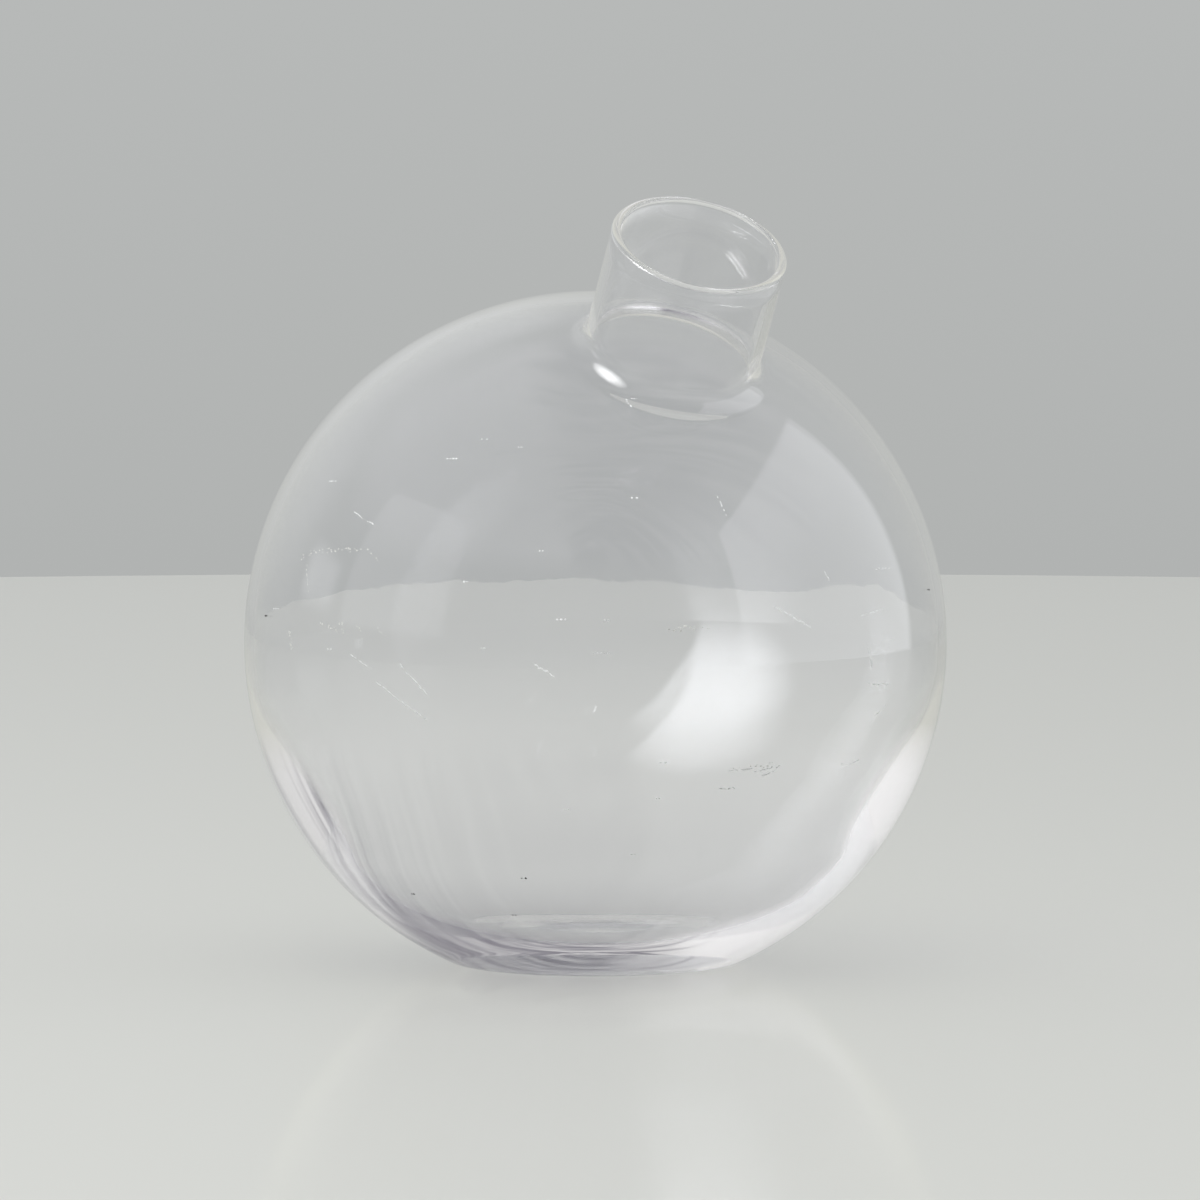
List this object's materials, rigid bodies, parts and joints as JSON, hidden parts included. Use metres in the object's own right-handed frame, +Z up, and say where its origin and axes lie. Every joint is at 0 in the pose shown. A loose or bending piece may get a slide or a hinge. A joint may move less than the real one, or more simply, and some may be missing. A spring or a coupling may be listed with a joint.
{
  "type": "bud vase",
  "caption": "Round clear glass bud vase: a hollow globe on a flattened foot with a short straight neck leaning forward.",
  "frame": {"origin": "on the table plane, under the centre of the globe", "axes": "+Z up; the neck leans forward, towards -Y; the left and right halves mirror each other about X = 0"},
  "size_m": [0.12, 0.12, 0.1324],
  "materials": {
    "clear_glass": "clear mouth-blown soda-lime glass, fire-polished, faintly grey-violet where it is thick"
  },
  "bodies": {
    "root": {"blown_glass_vessel": "clear_glass"}
  },
  "joints": []
}
